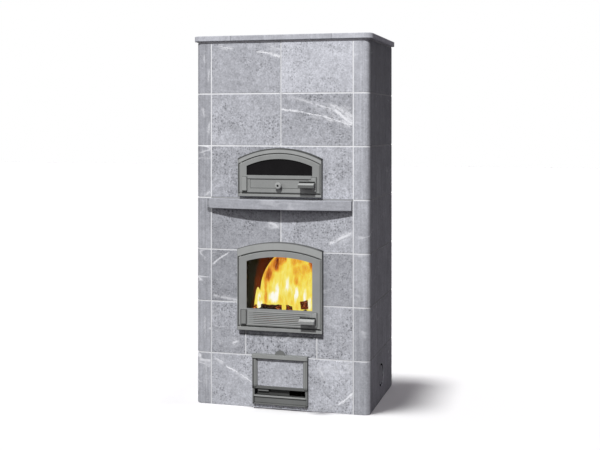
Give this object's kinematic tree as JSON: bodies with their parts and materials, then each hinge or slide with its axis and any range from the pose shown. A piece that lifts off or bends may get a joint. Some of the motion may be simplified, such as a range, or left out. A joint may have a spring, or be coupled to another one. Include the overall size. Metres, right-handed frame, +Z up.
{
  "type": "masonry heater",
  "caption": "Tall soapstone masonry heater with an arched glass fire door, a bake oven above a bowed shelf and a stone-faced ash drawer.",
  "frame": {"origin": "middle of the footprint on the floor, under the base slab", "axes": "+Z up, front with the doors facing -Y, +X to the right seen from the front"},
  "size_m": [0.954, 0.747, 1.918],
  "materials": {
    "soapstone": "honed, speckled, with white veins",
    "mortar": "fine, pale",
    "core_stone": "sawn",
    "insulating_board": "matte, fibrous",
    "door_paint": "fine-grained satin paint",
    "cast_iron": "as cast, sooty",
    "clear_glass": "polished",
    "dark_glass": "polished, sooted",
    "glass_fibre": "braided",
    "steel": "rolled"
  },
  "bodies": {
    "heater": {"air_slide_guide": "steel", "ash_pit_walls": "core_stone", "back_base_stone": "soapstone", "back_stones": "soapstone", "base_slab": "core_stone", "cap_slab": "soapstone", "core_lid": "core_stone", "drawer_rails": "steel", "fire_door_frame": "door_paint", "firebox_walls": "core_stone", "flue_collar": "steel", "frame_screws": "steel", "front_course_1": "soapstone", "front_course_2": "soapstone", "front_course_3": "soapstone", "front_course_4": "soapstone", "front_course_5": "soapstone", "front_course_6": "soapstone", "front_course_7": "soapstone", "grate": "cast_iron", "hearth_slab": "core_stone", "hinge_pins": "steel", "lid_corbels": "core_stone", "lid_insulation": "insulating_board", "mortar_joints": "mortar", "oven_door_frame": "door_paint", "oven_floor": "core_stone", "oven_roof": "core_stone", "oven_walls": "core_stone", "plinth_frame": "door_paint", "rear_board": "insulating_board", "shelf_stone": "soapstone", "side_stones_left": "soapstone", "side_stones_right": "soapstone"},
    "fire_door": {"fire_door_leaf": "door_paint", "fire_glass": "clear_glass", "fire_glass_gasket": "glass_fibre", "fire_glass_clips": "steel", "fire_rope_seal": "glass_fibre", "fire_corner_plates": "door_paint", "fire_air_grille": "door_paint"},
    "fire_handle": {"fire_handle": "door_paint", "fire_latch_spindle": "steel"},
    "oven_door": {"oven_door_leaf": "door_paint", "oven_glass": "dark_glass", "oven_glass_gasket": "glass_fibre", "oven_glass_clips": "steel", "oven_rope_seal": "glass_fibre", "oven_corner_plates": "door_paint"},
    "oven_handle": {"oven_handle": "door_paint", "oven_latch_spindle": "steel"},
    "oven_vent": {"oven_vent_knob": "door_paint", "oven_vent_disc": "steel"},
    "ash_drawer": {"ash_front": "door_paint", "ash_front_stone": "soapstone", "ash_pull_tab": "door_paint", "ash_pan": "steel"},
    "air_slide": {"air_slide": "steel"},
    "sweep_plug_left": {"sweep_plug_left": "soapstone"},
    "sweep_plug_right": {"sweep_plug_right": "soapstone"}
  },
  "joints": [
    {"name": "fire_door_hinge", "type": "hinge", "parent": "heater", "child": "fire_door", "pos_m": [-0.209, -0.336, 0.62], "axis": [0, 0, -1], "range_deg": [0, 95]},
    {"name": "fire_handle_turn", "type": "hinge", "parent": "fire_door", "child": "fire_handle", "pos_m": [0.183, -0.352, 0.466], "axis": [0, 1, 0], "range_deg": [0, 40]},
    {"name": "oven_door_hinge", "type": "hinge", "parent": "heater", "child": "oven_door", "pos_m": [-0.2055, -0.336, 1.2], "axis": [0, 0, -1], "range_deg": [0, 95]},
    {"name": "oven_handle_turn", "type": "hinge", "parent": "oven_door", "child": "oven_handle", "pos_m": [0.1795, -0.352, 1.15], "axis": [0, 1, 0], "range_deg": [0, 40]},
    {"name": "oven_vent_turn", "type": "hinge", "parent": "oven_door", "child": "oven_vent", "pos_m": [0, -0.345, 1.146], "axis": [0, 1, 0], "range_deg": [0, 90]},
    {"name": "ash_drawer_slide", "type": "slide", "parent": "heater", "child": "ash_drawer", "axis": [0, -1, 0], "range_m": [0, 0.3]},
    {"name": "air_slide_travel", "type": "slide", "parent": "heater", "child": "air_slide", "axis": [1, 0, 0], "range_m": [0, 0.06]},
    {"name": "sweep_plug_left_out", "type": "slide", "parent": "heater", "child": "sweep_plug_left", "axis": [-1, 0, 0], "range_m": [0, 0.1]},
    {"name": "sweep_plug_right_out", "type": "slide", "parent": "heater", "child": "sweep_plug_right", "axis": [1, 0, 0], "range_m": [0, 0.1]}
  ]
}
